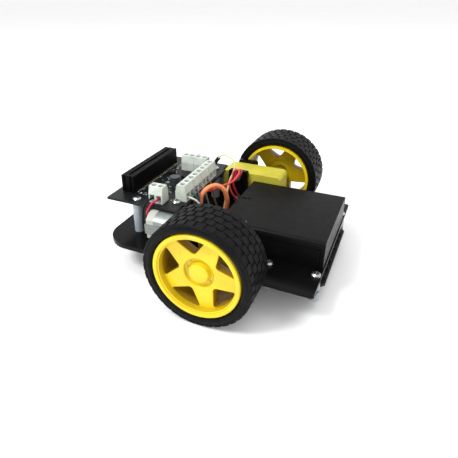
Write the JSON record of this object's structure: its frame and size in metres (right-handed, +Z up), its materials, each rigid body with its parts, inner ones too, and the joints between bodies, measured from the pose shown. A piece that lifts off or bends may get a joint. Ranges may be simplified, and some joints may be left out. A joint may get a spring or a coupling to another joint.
{
  "type": "line follower robot",
  "caption": "Two-wheel-drive line follower robot: acrylic deck, geared motors between bracket plates, driver board on spacers, battery box and under-slung line-sensor board.",
  "frame": {"origin": "middle of the bounding box, on the floor that the wheels and the caster ball stand on", "axes": "+X towards the battery and sensor end, +Y to the left side along the wheel axle, +Z up"},
  "size_m": [0.1466, 0.1688, 0.065],
  "materials": {
    "deck": "black acrylic sheet, polished faces",
    "bracket": "black acrylic plate, laser-cut edges",
    "gearbox": "moulded yellow plastic, satin",
    "gear": "natural nylon",
    "rim": "bright yellow moulded plastic",
    "tyre": "soft black rubber",
    "steel": "zinc-plated steel",
    "can": "plated motor can",
    "magnet": "ferrite",
    "rotor": "laminated steel and copper",
    "cap": "off-white moulded plastic",
    "brass": "tinned brass",
    "strap": "translucent plastic strap",
    "board": "black solder mask with pale print marks",
    "socket": "black moulded connector body",
    "terminal": "light grey moulded plastic",
    "capacitor": "dark sleeve with bright top",
    "chips": "black component bodies",
    "nylon": "pale nylon",
    "case": "satin black moulded plastic",
    "cell": "wrapped cell with bright ends",
    "knob": "pale moulded plastic",
    "lead_red": "flexible insulation, red and black",
    "lead_power": "flexible insulation, red",
    "cable_orange": "flexible orange cable",
    "lead_signal": "flexible insulation, several colours",
    "lead_yellow": "flexible pale yellow insulation"
  },
  "bodies": {
    "chassis": {"chassis_deck": "deck", "motor_brackets": "bracket", "motor_bolts": "steel", "motor_nuts": "steel", "left_gearbox_outer": "gearbox", "left_gearbox_inner": "gearbox", "left_motor_can": "can", "left_motor_cap": "cap", "right_gearbox_outer": "gearbox", "right_gearbox_inner": "gearbox", "right_motor_can": "can", "right_motor_cap": "cap", "gear_pins": "steel", "gearbox_screws": "steel", "motor_magnets": "magnet", "motor_tabs": "brass", "motor_straps": "strap", "driver_board": "board", "edge_connector": "socket", "edge_contacts": "brass", "power_terminals": "terminal", "signal_terminals": "terminal", "terminal_screws": "steel", "reservoir_capacitor": "capacitor", "board_parts": "chips", "board_spacers": "nylon", "board_screws": "steel", "battery_case": "case", "battery_cells": "cell", "battery_contacts": "steel", "switch_body": "chips", "case_screws": "steel", "sensor_board": "board", "line_sensors": "chips", "sensor_bolts": "steel", "sensor_spacers": "nylon", "standoff_nuts": "nylon", "caster_housing": "chips", "caster_screws": "steel", "motor_leads": "lead_red", "battery_leads": "lead_power", "orange_cable": "cable_orange", "signal_wires": "lead_signal", "jumper_lead": "lead_yellow", "jumper_plug": "chips"},
    "left_wheel": {"left_rim": "rim", "left_tyre": "tyre", "left_output_shaft": "gear"},
    "left_idler": {"left_idler_gear": "gear"},
    "left_crown": {"left_crown_gear": "gear"},
    "left_rotor": {"left_motor_rotor": "rotor"},
    "right_wheel": {"right_rim": "rim", "right_tyre": "tyre", "right_output_shaft": "gear"},
    "right_idler": {"right_idler_gear": "gear"},
    "right_crown": {"right_crown_gear": "gear"},
    "right_rotor": {"right_motor_rotor": "rotor"},
    "caster": {"caster_ball": "steel"},
    "lid": {"battery_lid": "case"},
    "switch": {"switch_slider": "knob"}
  },
  "joints": [
    {"name": "left_wheel_spin", "type": "hinge", "parent": "chassis", "child": "left_wheel", "pos_m": [0.01275, 0.0714, 0.0325], "axis": [0, 1, 0], "continuous": true},
    {"name": "left_idler_spin", "type": "hinge", "parent": "chassis", "child": "left_idler", "pos_m": [0.00175, 0.04275, 0.0325], "axis": [0, 1, 0], "continuous": true},
    {"name": "left_crown_spin", "type": "hinge", "parent": "chassis", "child": "left_crown", "pos_m": [-0.00775, 0.04275, 0.0325], "axis": [0, 1, 0], "continuous": true},
    {"name": "left_rotor_spin", "type": "hinge", "parent": "chassis", "child": "left_rotor", "pos_m": [-0.02525, 0.04275, 0.0325], "axis": [1, 0, 0], "continuous": true},
    {"name": "right_wheel_spin", "type": "hinge", "parent": "chassis", "child": "right_wheel", "pos_m": [0.01275, -0.0714, 0.0325], "axis": [0, 1, 0], "continuous": true},
    {"name": "right_idler_spin", "type": "hinge", "parent": "chassis", "child": "right_idler", "pos_m": [0.00175, -0.04275, 0.0325], "axis": [0, 1, 0], "continuous": true},
    {"name": "right_crown_spin", "type": "hinge", "parent": "chassis", "child": "right_crown", "pos_m": [-0.00775, -0.04275, 0.0325], "axis": [0, 1, 0], "continuous": true},
    {"name": "right_rotor_spin", "type": "hinge", "parent": "chassis", "child": "right_rotor", "pos_m": [-0.02525, -0.04275, 0.0325], "axis": [1, 0, 0], "continuous": true},
    {"name": "caster_roll", "type": "hinge", "parent": "chassis", "child": "caster", "pos_m": [0.04875, 0, 0.00475], "axis": [0, 1, 0], "continuous": true},
    {"name": "lid_slide", "type": "slide", "parent": "chassis", "child": "lid", "axis": [1, 0, 0], "range_m": [0, 0.066]},
    {"name": "switch_slide", "type": "slide", "parent": "chassis", "child": "switch", "axis": [0, 1, 0], "range_m": [0, 0.0035]}
  ],
  "couplings": [
    {"joint": "left_idler_spin", "follows": "left_wheel_spin", "ratio": -3},
    {"joint": "left_crown_spin", "follows": "left_wheel_spin", "ratio": 11.25},
    {"joint": "left_rotor_spin", "follows": "left_wheel_spin", "ratio": -47.812},
    {"joint": "right_idler_spin", "follows": "right_wheel_spin", "ratio": -3},
    {"joint": "right_crown_spin", "follows": "right_wheel_spin", "ratio": 11.25},
    {"joint": "right_rotor_spin", "follows": "right_wheel_spin", "ratio": 47.812}
  ]
}
